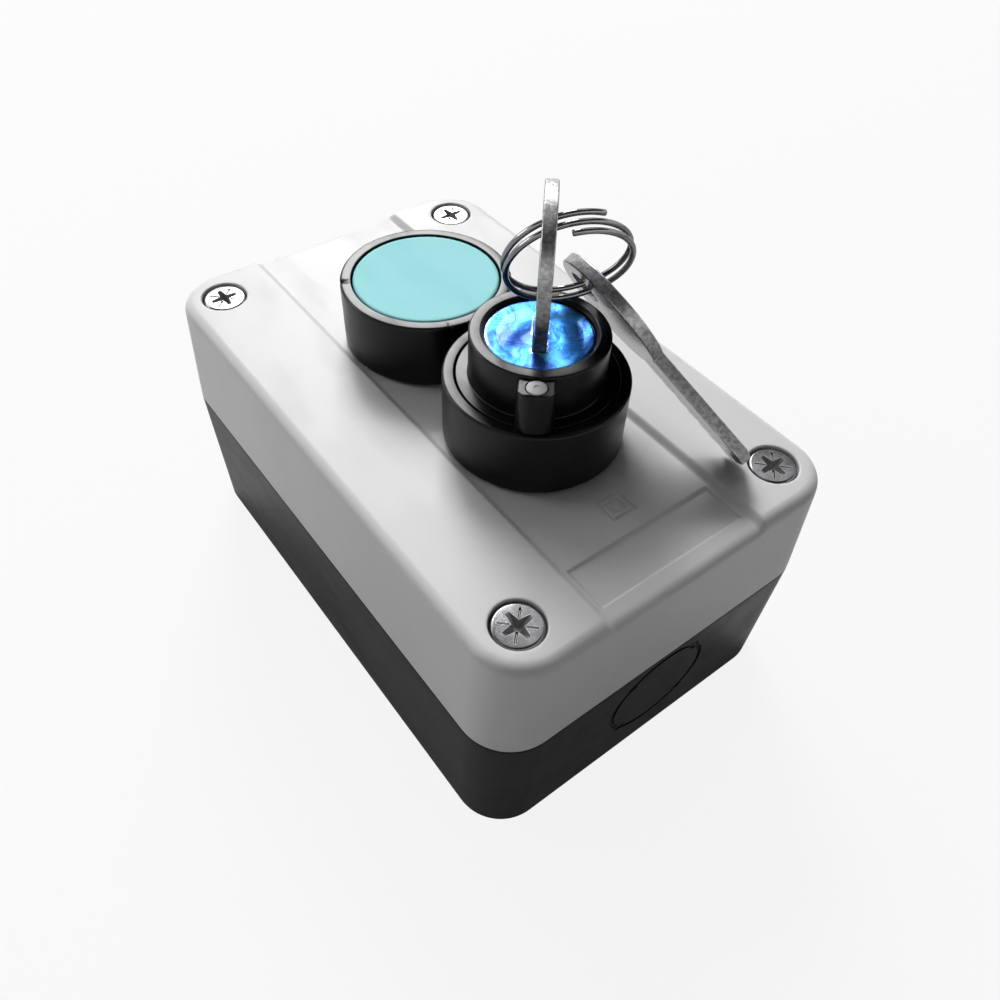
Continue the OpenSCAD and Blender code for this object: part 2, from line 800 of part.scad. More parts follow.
module inserted_key() {
    color([0.6, 0.6, 0.6]) at_pointer() translate([0, 0, bow_z]) key_shape();
}

module key_ring() {
    path = helix(ring_radius, ring_pitch, ring_turns, ring_steps, ring_start);
    echo(str("split ring: least gap between turns ", turn_gap(path, ring_steps, wire_diameter), " mm"));
    color([0.75, 0.75, 0.76]) translate(ring_centre) rotate([0, ring_tilt, ring_azimuth])
        translate([0, 0, -ring_pitch * ring_turns / 2])
            coil(ring_radius, wire_diameter, ring_pitch, ring_turns, ring_steps, ring_sides, ring_start);
}

module spare_key() {
    color([0.62, 0.62, 0.62]) translate(spare_hole) rotate(spare_turn) rotate([0, 0, 180])
        translate([0, 0, -bow_hole_up]) key_shape();
}

base();
cover();
cover_seal();
cover_screws();
button_bezel();
button_seal();
button_nut();
button_plate();
button_cap();
button_stem();
button_spring();
button_block();
button_plunger();
button_bridge();
button_contact_spring();
button_contacts();
button_terminals();
key_bezel();
key_seal();
key_nut();
key_plate();
key_barrel();
pointer_dot();
lock_face();
lock_plug();
key_cam();
key_block();
key_plunger();
key_bridge();
key_contact_spring();
key_contacts();
key_terminals();
inserted_key();
key_ring();
spare_key();
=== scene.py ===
"""Looks of the key push button switch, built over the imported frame."""
import math

import bmesh
import bpy
from mathutils import Matrix, Vector, geometry


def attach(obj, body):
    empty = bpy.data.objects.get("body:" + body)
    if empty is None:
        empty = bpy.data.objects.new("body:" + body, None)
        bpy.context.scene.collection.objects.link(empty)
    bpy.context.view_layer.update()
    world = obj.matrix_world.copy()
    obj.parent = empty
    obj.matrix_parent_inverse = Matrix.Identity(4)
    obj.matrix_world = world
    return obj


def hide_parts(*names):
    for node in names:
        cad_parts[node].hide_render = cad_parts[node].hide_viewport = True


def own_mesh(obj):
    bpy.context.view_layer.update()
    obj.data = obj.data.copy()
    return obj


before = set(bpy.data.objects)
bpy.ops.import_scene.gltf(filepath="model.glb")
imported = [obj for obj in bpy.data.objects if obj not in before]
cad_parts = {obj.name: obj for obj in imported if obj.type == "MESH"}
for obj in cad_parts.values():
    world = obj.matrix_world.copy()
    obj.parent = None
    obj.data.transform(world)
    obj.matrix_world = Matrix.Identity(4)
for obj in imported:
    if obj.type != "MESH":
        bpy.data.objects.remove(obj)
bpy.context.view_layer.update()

MM = 0.001
TURN = 2 * math.pi
BOTH = (-1, 1)
CORNERS = [(sx, sy) for sx in BOTH for sy in BOTH]

# Sizes repeated from the part's source, in millimetres and degrees. Heights count from the back.
TOP, PANEL, UNDER, SPLIT = 49.0, 48.0, 45.2, 28.0
CORNER_RADIUS, WALL = 8.7, 2.6
GREEN_Y, KEY_Y = 14.8, -15.2
SCREW_X, SCREW_Y = 25.3, 43.9
SCREWS = [(sx * SCREW_X, sy * SCREW_Y) for sx, sy in CORNERS]
FIXINGS = [(sx * 20, sy * 37) for sx, sy in CORNERS]
POST_RADIUS = 4.5
FOOT, BEZEL_TOP, NECK_END = 48.6, 60.1, 33.8
CUP_FLOOR, BARREL_TOP = 49.8, 67.8
BEZEL_RADIUS, NECK_RADIUS, NECK_BORE = 14.5, 11, 9.2
POINTER = math.radians(-131)
POINTER_HALF, POINTER_REACH = 2.8, 13.9
DOT_REACH = 12.0
BOW_Z = 69.5
BOW_RADIUS, BOW_HOLE, BOW_HOLE_RADIUS = 10.25, 15.5, 2.75
BLADE_LENGTH, BLADE_HALF, BLADE_TIP, KEY_HALF = 20.0, 4.0, 1.8, 0.95
RING_CENTRE, RING_TILT, RING_AZIMUTH, RING_START = (4.72, KEY_Y + 0.8, 77.44), 65.6, 65.9, 171
RING_RADIUS, RING_PITCH, RING_TURNS = 9.0, 1.45, 2.1
SPARE_HOLE, SPARE_TURN = (10.41, KEY_Y + 1.64, 70.91), (-44.9, 39.83, 50.9)
# each spring: radius, wire radius, floor, top, turns
RETURN_SPRING = (10.9, 0.5, CUP_FLOOR, 57.6, 3.5)
CONTACT_SPRING = (1.7, 0.3, 10.8, 20.0, 6)
BUTTON_TRAVEL, KEY_TRAVEL = 4.5, 4.0


# Mesh helpers

def arc_corner(a, b, c, r, steps):
    """Points of a round corner of radius r at b, between a and c."""
    a, b, c = Vector(a), Vector(b), Vector(c)
    u, v = (a - b).normalized(), (c - b).normalized()
    half = math.acos(max(-1.0, min(1.0, u.dot(v)))) / 2
    if r <= 0 or half > math.pi / 2 - 0.01:
        return [tuple(b)]
    reach = min(r / math.tan(half), (a - b).length * 0.48, (c - b).length * 0.48)
    r = reach * math.tan(half)
    centre = b + (u + v).normalized() * (r / math.sin(half))
    p, q = b + u * reach - centre, b + v * reach - centre
    turn = math.atan2(p.x * q.y - p.y * q.x, p.dot(q))
    out = []
    for i in range(steps + 1):
        t = turn * i / steps
        out.append((centre.x + p.x * math.cos(t) - p.y * math.sin(t),
                    centre.y + p.x * math.sin(t) + p.y * math.cos(t)))
    return out


def rounded(corners, steps=4, closed=True):
    """A 2-D outline of corners (x, y, radius), each rounded by its own radius."""
    points = [(x, y) for x, y, _ in corners]
    out = []
    n = len(points)
    for i, (x, y, r) in enumerate(corners):
        if not closed and i in (0, n - 1):
            out.append((x, y))
        else:
            out += arc_corner(points[i - 1], (x, y), points[(i + 1) % n], r, steps)
    return out


def circle(x, y, radius, count):
    """Points round a circle, counter-clockwise."""
    return [(x + radius * math.cos(TURN * k / count), y + radius * math.sin(TURN * k / count))
            for k in range(count)]


def between(a, b, n):
    """The two ends and the n - 1 points between them."""
    return [(a[0] + (b[0] - a[0]) * i / n, a[1] + (b[1] - a[1]) * i / n) for i in range(n + 1)]


def subdivided(profile, longest=3, step=2.5):
    """A closed profile with points added along its long sides."""
    out = []
    for a, b in zip(profile, profile[1:] + profile[:1]):
        out.append(a)
        if math.dist(a, b) > longest:
            out += between(a, b, int(math.dist(a, b) / step))[1:-1]
    return out


def lathe(bm, profile, centre=(0, 0), segments=160, closed=True):
    """Turns a profile of (radius, height) about the upright axis through centre."""
    rings = []
    for r, z in profile:
        plan = [centre] if r < 1e-4 else circle(*centre, r, segments)
        rings.append([bm.verts.new((x, y, z)) for x, y in plan])
    pairs = list(zip(rings, rings[1:])) + ([(rings[-1], rings[0])] if closed else [])
    for a, b in pairs:
        if len(a) == 1 and len(b) == 1:
            continue
        for k in range(segments):
            j = (k + 1) % segments
            if len(a) == 1:
                bm.faces.new((a[0], b[k], b[j]))
            elif len(b) == 1:
                bm.faces.new((a[k], a[j], b[0]))
            else:
                bm.faces.new((a[k], a[j], b[j], b[k]))


def plate_outline(w, l, r, n=18):
    """Outline of a rectangle with round corners, counter-clockwise."""
    out = []
    for cx, cy, start in ((1, 1, 0), (-1, 1, 90), (-1, -1, 180), (1, -1, 270)):
        for k in range(n + 1):
            a = math.radians(start + 90 * k / n)
            out.append((cx * (w / 2 - r) + r * math.cos(a), cy * (l / 2 - r) + r * math.sin(a)))
    return out


def placed(points, angle, centre, z):
    """Plan points turned about the origin and moved to a centre, at height z."""
    c, s = math.cos(angle), math.sin(angle)
    return [(centre[0] + c * u - s * v, centre[1] + s * u + c * v, z) for u, v in points]


def along_pointer(points, z=0.0):
    """Plan points given along the pointer's own axes, in the part's frame."""
    return placed(points, POINTER, (0, KEY_Y), z)


def loft(bm, loops):
    """Skins loops of 3-D points that have the same count, and closes both ends."""
    rows = [[bm.verts.new(p) for p in loop] for loop in loops]
    n = len(rows[0])
    for a, b in zip(rows, rows[1:]):
        for k in range(n):
            bm.faces.new((a[k], a[(k + 1) % n], b[(k + 1) % n], b[k]))
    bm.faces.new(rows[0][::-1])
    bm.faces.new(rows[-1])


def box(bm, lo, hi):
    corners = [(x, y, z) for z in (lo[2], hi[2]) for y in (lo[1], hi[1]) for x in (lo[0], hi[0])]
    v = [bm.verts.new(c) for c in corners]
    for f in ((0, 2, 3, 1), (4, 5, 7, 6), (0, 1, 5, 4), (2, 6, 7, 3), (0, 4, 6, 2), (1, 3, 7, 5)):
        bm.faces.new([v[i] for i in f])


def post_ribs(bm, sx, sy, reach_x, reach_y, bottom, top):
    """Two ribs that tie a screw post to the box's walls."""
    start, half = 4.2, 0.8
    x0, x1 = sorted((sx * (SCREW_X + start), sx * reach_x))
    box(bm, (x0, sy * SCREW_Y - half, bottom), (x1, sy * SCREW_Y + half, top))
    y0, y1 = sorted((sy * (SCREW_Y + start), sy * reach_y))
    box(bm, (sx * SCREW_X - half, y0, bottom), (sx * SCREW_X + half, y1, top))


def finish_mesh(bm, name, merge=1e-4):
    bmesh.ops.remove_doubles(bm, verts=bm.verts, dist=merge)
    bmesh.ops.recalc_face_normals(bm, faces=bm.faces)
    me = bpy.data.meshes.new(name)
    bm.to_mesh(me)
    bm.free()
    return me


def link(name, data):
    """A new object in the scene that holds data."""
    obj = bpy.data.objects.new(name, data)
    bpy.context.scene.collection.objects.link(obj)
    return obj


def evaluated_mesh(obj):
    depsgraph = bpy.context.evaluated_depsgraph_get()
    return bpy.data.meshes.new_from_object(obj.evaluated_get(depsgraph))


def cut(me, cutter, overlapping=True):
    """The first mesh less the second, both in millimetres. Both meshes are used up."""
    a, b = link("cut_a", me), link("cut_b", cutter)
    m = a.modifiers.new("cut", "BOOLEAN")
    m.operation, m.object, m.solver, m.use_self = "DIFFERENCE", b, "EXACT", overlapping
    out = evaluated_mesh(a)
    for o in (a, b):
        bpy.data.objects.remove(o)
    return out


def piece(name, me, body, node, mats, sharp=32, weighted=True):
    """A mesh in millimetres as a finished piece that rides on a body and stands for a CAD node."""
    me.transform(Matrix.Scale(MM, 4))
    obj = link(name, me)
    for m in mats:
        me.materials.append(M[m])
    me.shade_smooth()
    me.set_sharp_from_angle(angle=math.radians(sharp))
    if weighted:
        w = obj.modifiers.new("weighted", "WEIGHTED_NORMAL")
        w.keep_sharp = True
        w.weight = 60
    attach(obj, body)
    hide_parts(node)
    return obj


# Materials

class Nodes:
    """Small wrapper round a material's node tree."""

    def __init__(self, name):
        self.mat = bpy.data.materials.new(name)
        self.mat.use_nodes = True
        self.tree = self.mat.node_tree
        self.bsdf = self.tree.nodes["Principled BSDF"]
        self.coord = self.tree.nodes.new("ShaderNodeTexCoord").outputs["Object"]

    def feed(self, socket, value):
        """Links another socket to this one, or sets its value. A colour may leave out alpha."""
        if isinstance(value, bpy.types.NodeSocket):
            self.tree.links.new(value, socket)
        elif isinstance(value, (int, float)):
            socket.default_value = value
        else:
            socket.default_value = (tuple(value) + (1.0,))[:len(socket.default_value)]

    def new(self, kind, inputs, **attrs):
        n = self.tree.nodes.new(kind)
        for k, v in attrs.items():
            setattr(n, k, v)
        for k, v in inputs.items():
            self.feed(n.inputs[k], v)
        return n

    def noise(self, scale, detail=3.0, rough=0.5, stretch=None, distortion=0.0):
        vector = self.coord
        if stretch:
            mapping = {"Vector": self.coord, "Scale": stretch}
            vector = self.new("ShaderNodeMapping", mapping).outputs[0]
        inputs = {"Vector": vector, "Scale": scale, "Detail": detail, "Roughness": rough,
                  "Distortion": distortion}
        return self.new("ShaderNodeTexNoise", inputs).outputs["Fac"]

    def ramp(self, fac, lo, hi, out_lo=0.0, out_hi=1.0, smooth=False):
        inputs = {"Value": fac, "From Min": lo, "From Max": hi, "To Min": out_lo, "To Max": out_hi}
        kind = "SMOOTHSTEP" if smooth else "LINEAR"
        return self.new("ShaderNodeMapRange", inputs, interpolation_type=kind).outputs[0]

    def mix(self, fac, a, b):
        """Two colours mixed. The node's colour sockets are numbers 6 and 7, and its output is 2."""
        return self.new("ShaderNodeMix", {0: fac, 6: a, 7: b}, data_type="RGBA").outputs[2]

    def math(self, op, a, b):
        return self.new("ShaderNodeMath", {0: a, 1: b}, operation=op).outputs[0]

    def bump(self, height, distance, strength, normal=None):
        inputs = {"Height": height, "Distance": distance, "Strength": strength}
        if normal is not None:
            inputs["Normal"] = normal
        return self.new("ShaderNodeBump", inputs).outputs[0]

    def edges(self, radius, lo=0.02, hi=0.25):
        """White along edges that are sharper than radius."""
        bevel = self.new("ShaderNodeBevel", {"Radius": radius}, samples=4).outputs[0]
        normal = self.new("ShaderNodeNewGeometry", {}).outputs["Normal"]
        dot = self.new("ShaderNodeVectorMath", {0: bevel, 1: normal}, operation="DOT_PRODUCT")
        return self.ramp(self.math("SUBTRACT", 1.0, dot.outputs["Value"]), lo, hi)

    def set(self, **values):
        for k, v in values.items():
            self.feed(self.bsdf.inputs[k.replace("_", " ")], v)
        return self.mat


def plastic(name, colour, dark, rough, grain=0.01, grain_scale=5200, worn=None, gloss=0.08,
            specular=0.5):
    """Moulded plastic: eroded grain, faint cloudiness, uneven gloss and lighter rubbed edges."""
    n = Nodes(name)
    cloud = n.noise(38, detail=4, rough=0.6)
    speck = n.noise(900, rough=0.6)
    base = n.mix(n.ramp(cloud, 0.3, 0.7), dark, colour)
    base = n.mix(n.ramp(speck, 0.62, 0.8, 0.0, 0.35), base, dark)
    if worn is not None:
        edge = n.math("MULTIPLY", n.edges(0.45 * MM), n.ramp(n.noise(420, rough=0.6), 0.4, 0.66))
        base = n.mix(n.math("MULTIPLY", edge, 0.6), base, worn)
    scuff = n.ramp(n.noise(160, detail=4, rough=0.65, stretch=(1, 0.35, 1)), 0.45, 0.75)
    r = n.ramp(scuff, 0, 1, rough - gloss / 2, rough + gloss)
    waves = n.bump(n.noise(60, detail=2), 0.06 * MM, 0.25)
    normal = n.bump(n.noise(grain_scale, detail=2, rough=0.55), grain * MM, 0.55, waves)
    return n.set(Base_Color=base, Roughness=r, Normal=normal, Specular_IOR_Level=specular)


def metal(name, colour, dark, rough, brush=None, brush_depth=0.004, pits=0.0, metallic=1.0,
          wear=None, stain=(120, 0.35, 0.7)):
    """Plated or machined metal: brushed lines or fine pits, darker blotches at random, small
    scratches.
    """
    n = Nodes(name)
    stain_scale, stain_lo, stain_hi = stain
    tone = n.ramp(n.noise(stain_scale, detail=4, rough=0.6), stain_lo, stain_hi)
    base = n.mix(tone, dark, colour)
    if wear is not None:
        base = n.mix(n.math("MULTIPLY", n.edges(0.3 * MM), 0.7), base, wear)
    lines = n.noise(2600, rough=0.6, stretch=brush)
    scratch = n.ramp(n.noise(700, detail=2, rough=0.7, stretch=(1, 9, 3)), 0.62, 0.72)
    r = n.math("ADD", n.ramp(lines, 0.3, 0.7, rough * 0.75, rough * 1.3),
               n.math("MULTIPLY", scratch, 0.12))
    normal = n.bump(lines, brush_depth * MM, 0.8)
    if pits:
        normal = n.bump(n.ramp(n.noise(1500, detail=2), 0.55, 0.75), pits * MM, 0.7, normal)
    return n.set(Base_Color=base, Roughness=r, Normal=normal, Metallic=metallic)


def blue_metal():
    """Anodised blue over beaten metal, paler on the dents, and silvery along its edges, partly as
    wear and partly as a painted highlight.
    """
    deep, mid = (0.0, 0.04, 0.24), (0.008, 0.15, 0.5)
    pale, silver_wear_and_highlight = (0.06, 0.34, 0.6), (0.7, 0.86, 0.92)
    n = Nodes("blue_face")
    dents = n.noise(260, distortion=1.2)
    flow = n.noise(150, detail=4, rough=0.6, distortion=1.2)
    base = n.mix(n.ramp(flow, 0.35, 0.65, smooth=True), deep, mid)
    base = n.mix(n.ramp(dents, 0.52, 0.7), base, pale)
    # silvery edges: partly wear, partly a painted highlight
    edge = n.math("MULTIPLY", n.edges(0.7 * MM), n.ramp(n.noise(500, rough=0.6), 0.42, 0.56))
    base = n.mix(edge, base, silver_wear_and_highlight)
    r = n.ramp(dents, 0.3, 0.75, 0.2, 0.38)
    normal = n.bump(dents, 0.16 * MM, 0.6, n.bump(n.noise(2400, detail=2), 0.01 * MM, 0.5))
    return n.set(Base_Color=base, Roughness=r, Normal=normal, Metallic=0.85, Coat_Weight=0.3,
                 Coat_Roughness=0.1)


# Depths of grain, brushing and pits are in millimetres.
M = {
    "cover": plastic("cover_plastic", (0.74, 0.74, 0.745), (0.7, 0.7, 0.705), 0.46, 0.012, 4200,
                     (0.82, 0.82, 0.82), specular=0.28),
    "base": plastic("base_plastic", (0.006, 0.006, 0.0065), (0.005, 0.005, 0.0055), 0.36, 0.014,
                    3400, (0.03, 0.03, 0.031), 0.05, 0.2),
    "head": plastic("head_plastic", (0.0035, 0.0035, 0.004), (0.003, 0.003, 0.0033), 0.32, 0.01,
                    6000, (0.035, 0.035, 0.038), 0.08, 0.26),
    "inner": plastic("inner_plastic", (0.03, 0.03, 0.032), (0.02, 0.02, 0.022), 0.45),
    "nut": plastic("nut_plastic", (0.05, 0.05, 0.054), (0.035, 0.035, 0.04), 0.4),
    "block": plastic("block_plastic", (0.62, 0.62, 0.6), (0.5, 0.5, 0.48), 0.45),
    "white": plastic("white_plastic", (0.6, 0.6, 0.59), (0.5, 0.5, 0.49), 0.5, specular=0.3),
    "cap": plastic("cap_plastic", (0.31, 0.74, 0.77), (0.28, 0.71, 0.74), 0.55, 0.006, 5000,
                   (0.4, 0.78, 0.8), 0.06, 0.15),
    "seal": plastic("seal_rubber", (0.016, 0.016, 0.016), (0.01, 0.01, 0.01), 0.7, 0.02, 2600),
    "screw": metal("zinc_screw", (0.3, 0.3, 0.31), (0.2, 0.2, 0.21), 0.2, brush_depth=0.0003,
                   wear=(0.75, 0.75, 0.75), stain=(500, 0.35, 0.7)),
    # the screws' cross recesses: a duller, darker metal that is painted shade in the recess
    "recess": metal("screw_recess_shade", (0.4, 0.4, 0.4), (0.26, 0.26, 0.26), 0.4, brush_depth=0.002,
                    pits=0.002, metallic=0.45),
    "spring": metal("spring_steel", (0.6, 0.6, 0.62), (0.4, 0.4, 0.42), 0.25),
    "brass": metal("contact_brass", (0.8, 0.58, 0.26), (0.6, 0.42, 0.18), 0.25),
    "plug": metal("lock_zinc", (0.6, 0.58, 0.52), (0.4, 0.38, 0.34), 0.35),
    "key": metal("key_nickel", (0.3, 0.3, 0.305), (0.18, 0.18, 0.185), 0.2, (1, 1, 8), 0.003,
                 0.006, wear=(0.7, 0.7, 0.71)),
    "key_edge": metal("key_milled_edge", (0.46, 0.46, 0.47), (0.24, 0.245, 0.245), 0.34,
                      (1, 1, 6), 0.009, 0.01, wear=(0.85, 0.85, 0.86), stain=(1500, 0.36, 0.64)),
    "ring": metal("ring_steel", (0.34, 0.34, 0.35), (0.2, 0.2, 0.21), 0.12, brush_depth=0.001),
    "blue": blue_metal(),
}


# Cover

COVER_WIDTH, COVER_LENGTH = 65.6, 103.6
CENTRE_X, CENTRE_Y = COVER_WIDTH / 2 - CORNER_RADIUS, COVER_LENGTH / 2 - CORNER_RADIUS
SIDE_DRAFT, END_DRAFT, DRAFT_TOP = 1.2, 0.2, 47.4
PAD_ROLL, FLOOR_ROLL = 2.0, 1.5
CHANNEL_HALF, CHANNEL_SLOPE = 14.3, 1.5
CHANNEL_FOOT = 14.2
LABEL_HALF, LABEL_FRONT, LABEL_BACK = CHANNEL_FOOT - 0.4, -48.0, -40.6
LABEL_DEPTH, LABEL_SLOPE = 0.42, 0.3
MARK_Y, MARK_HALVES, MARK_INSET, MARK_DEPTH = -35.4, (2.3, 1.3), 0.3, 0.36
MARK_FOOT, MARK_SLOPE = 0.34, 0.2
RECESS_RADIUS, RECESS_ROLL = 4.05, 0.3
PANEL_HOLE = 11.2
BOSS_BORE = 2.1
HEAD_HOLES = [(0, GREEN_Y, PANEL_HOLE), (0, KEY_Y, PANEL_HOLE)]
SCREW_HOLES = [(x, y, RECESS_RADIUS) for x, y in SCREWS]


def cover_inset(x, y):
    """Distance of a plan point inside the cover's outline."""
    qx, qy = abs(x) - CENTRE_X, abs(y) - CENTRE_Y
    return -(math.hypot(max(qx, 0), max(qy, 0)) + min(max(qx, qy), 0) - CORNER_RADIUS)


def smooth(t):
    t = min(1.0, max(0.0, t))
    return t * t * (3 - 2 * t)


def roll(d, radius):
    """How far a rolled edge has dropped at a distance d in from it."""
    d = min(radius, max(0.0, d))
    return radius - math.sqrt(max(0.0, radius * radius - (radius - d) ** 2))


def cover_height(x, y):
    """The cover's top: pads, channel, label recess, moulded squares and screw recesses."""
    d = cover_inset(x, y)
    pad = TOP - roll(d, PAD_ROLL)
    floor = PANEL - roll(d, FLOOR_ROLL)
    z = pad + (floor - pad) * (1 - smooth((abs(x) - CHANNEL_HALF) / CHANNEL_SLOPE))
    inside = min(LABEL_HALF - abs(x), LABEL_BACK - y, y - LABEL_FRONT)
    z -= LABEL_DEPTH * smooth((inside + LABEL_SLOPE) / (2 * LABEL_SLOPE))
    for half in MARK_HALVES:
        off_line = abs(max(abs(x), abs(y - MARK_Y)) - half + MARK_INSET)
        z -= MARK_DEPTH * smooth((MARK_FOOT - off_line) / MARK_SLOPE)
    for sx, sy in SCREWS:
        gap = math.hypot(x - sx, y - sy) - RECESS_RADIUS
        if gap < RECESS_ROLL:
            z -= roll(gap, RECESS_ROLL)
    return z


def cover_lines():
    """Plan lines that the top's mesh has to follow, as points and the edges between them."""
    verts, edges = [], []

    def chain(points, closed=True):
        start, n = len(verts), len(points)
        verts.extend(Vector(p) for p in points)
        edges.extend((start + i, start + i + 1) for i in range(n - 1))
        if closed:
            edges.append((start + n - 1, start))

    longest = 4
    for d in (0, 0.06, 0.2, 0.42, 0.7, 1.1, 1.6, 2.0):
        pts = plate_outline(COVER_WIDTH - 2 * d, COVER_LENGTH - 2 * d, CORNER_RADIUS - d)
        full = []
        for a, b in zip(pts, pts[1:] + pts[:1]):
            n = max(1, round(math.dist(a, b) / longest)) if math.dist(a, b) > longest else 1
            full += between(a, b, n)[:-1]
        chain(full)
    end = COVER_LENGTH / 2 - 0.001
    for side in BOTH:
        for x in (CHANNEL_FOOT, 14.35, 14.5, 14.65, 14.82, 15.0, 15.18, 15.36, 15.55,
                  15.72, 15.9):
            a, b = (side * x, -end), (side * x, end)
            chain(between(a, b, round(math.dist(a, b) / 3)), closed=False)
    for e in (-0.4, -0.3, -0.2, -0.1, 0, 0.1, 0.2, 0.3, 0.4):
        x, y0, y1 = LABEL_HALF - e, LABEL_FRONT + e, LABEL_BACK - e
        chain([(-x, y0), (x, y0), (x, y1), (-x, y1)])
    for half in MARK_HALVES:
        for e in (-0.68, -0.58, -0.5, -0.42, -0.3, -0.18, -0.1, -0.02, 0.06):
            s = half + e
            chain([(-s, MARK_Y - s), (s, MARK_Y - s), (s, MARK_Y + s), (-s, MARK_Y + s)])
    for sx, sy in SCREWS:
        for r in (RECESS_RADIUS, 4.08, 4.14, 4.22, 4.35, 4.6):
            chain(circle(sx, sy, r, 72))
    for x, y, r in HEAD_HOLES:
        chain(circle(x, y, r, 96))
    return verts, edges


def build_cover():
    points, _, faces, *_ = geometry.delaunay_2d_cdt(*cover_lines(), [], 0, 1e-5)
    bm = bmesh.new()
    vs = [bm.verts.new((p.x, p.y, cover_height(p.x, p.y))) for p in points]
    for f in faces:
        c = sum((points[i] for i in f), Vector((0, 0))) / len(f)
        in_hole = any(math.hypot(c.x - hx, c.y - hy) < hr - 1e-3
                      for hx, hy, hr in SCREW_HOLES + HEAD_HOLES)
        if cover_inset(c.x, c.y) >= -1e-5 and not in_hole:
            bm.faces.new([vs[i] for i in f])
    bmesh.ops.delete(bm, geom=[v for v in bm.verts if not v.link_faces], context="VERTS")

    def rims(edge, holes):
        m = (edge.verts[0].co + edge.verts[1].co) / 2
        return any(abs(math.hypot(m.x - hx, m.y - hy) - hr) < 0.05 for hx, hy, hr in holes)

    outer, heads, screws = [], [], []
    for e in bm.edges:
        if len(e.link_faces) == 1:
            group = screws if rims(e, SCREW_HOLES) else heads if rims(e, HEAD_HOLES) else outer
            group.append(e)

    def extrude(loop):
        """Extrudes a loop of edges. Gives the new vertices and the new loop."""
        made = bmesh.ops.extrude_edge_only(bm, edges=loop)["geom"]
        return ([g for g in made if isinstance(g, bmesh.types.BMVert)],
                [g for g in made if isinstance(g, bmesh.types.BMEdge) and len(g.link_faces) == 1])

    # each outer vertex keeps its plan position and outward direction
    plan = {}
    for e in outer:
        for v in e.verts:
            x, y = v.co.x, v.co.y
            n = Vector((max(abs(x) - CENTRE_X, 0) * math.copysign(1, x),
                        max(abs(y) - CENTRE_Y, 0) * math.copysign(1, y)))
            plan[v] = (x, y, n.normalized() if n.length > 1e-6 else Vector((0, 0)))

    # down the outer wall, round its lower lip and up the inner wall: height, inset
    for z, inset in ((44, 0), (36, 0), (28.4, 0), (28.2, 0.02), (28.08, 0.09), (28.02, 0.2),
                     (SPLIT, 0.35), (SPLIT, 2.45), (28.1, WALL), (36, WALL), (UNDER, WALL)):
        new, loop = extrude(outer)
        fresh = set(new)
        above = {}
        for v in new:
            for e in v.link_edges:
                o = e.other_vert(v)
                if o in plan and o not in fresh:
                    above[v] = o
        t = min(1.0, (DRAFT_TOP - z) / (DRAFT_TOP - SPLIT))
        for v in new:
            x, y, n = plan[v] = plan[above[v]]
            sx, sy = max(-1.0, min(1.0, x / CENTRE_X)), max(-1.0, min(1.0, y / CENTRE_Y))
            v.co = (x + SIDE_DRAFT * t * sx - n.x * inset, y + END_DRAFT * t * sy - n.y * inset, z)
        outer = loop

    for z in (PANEL - 0.4, UNDER):
        new, heads = extrude(heads)
        for v in new:
            v.co = Vector((v.co.x, v.co.y, z))

    # down each screw's recess and bore, and up the outside of its boss: radius, height
    for r, z in ((RECESS_RADIUS, 46.7), (3.97, 46.55), (3.8, 46.5), (BOSS_BORE, 46.5),
                 (BOSS_BORE, 37), (BOSS_BORE, 28.1), (2.2, SPLIT), (4.4, SPLIT),
                 (POST_RADIUS, 28.1), (POST_RADIUS, UNDER)):
        new, screws = extrude(screws)
        for v in new:
            sx, sy = math.copysign(SCREW_X, v.co.x), math.copysign(SCREW_Y, v.co.y)
            d = Vector((v.co.x - sx, v.co.y - sy)).normalized() * r
            v.co = Vector((sx + d.x, sy + d.y, z))
    bmesh.ops.triangle_fill(bm, use_beauty=True, use_dissolve=False, edges=outer + heads + screws)
    for sx, sy in CORNERS:
        post_ribs(bm, sx, sy, 30.5, 49.8, SPLIT + 0.5, UNDER + 0.3)
    return finish_mesh(bm, "cover_shell")


piece("cover_shell", build_cover(), "box", "cover", ["cover"], 40)


# Base

BACK_WIDTH, BACK_LENGTH, BACK_RADIUS, BACK_EDGE = 67, 101.5, 8.3, 0.7
BASE_SPREAD_X, BASE_SPREAD_Y, BASE_SPREAD_R = 1, 2.5, 0.4
FLOOR_INSIDE = 1.3
KNOCKOUT_Z, KNOCKOUT_OUTER, KNOCKOUT_INNER = 17, 10.2, 9.3


def base_outline(z, inset=0.0):
    """The base's drafted outline at height z, inset from its wall."""
    t = max(0.0, min(1.0, (z - BACK_EDGE) / (SPLIT - BACK_EDGE)))
    outline = plate_outline(BACK_WIDTH + BASE_SPREAD_X * t - 2 * inset,
                            BACK_LENGTH + BASE_SPREAD_Y * t - 2 * inset,
                            max(0.5, BACK_RADIUS + BASE_SPREAD_R * t - inset))
    return [(x, y, z) for x, y in outline]


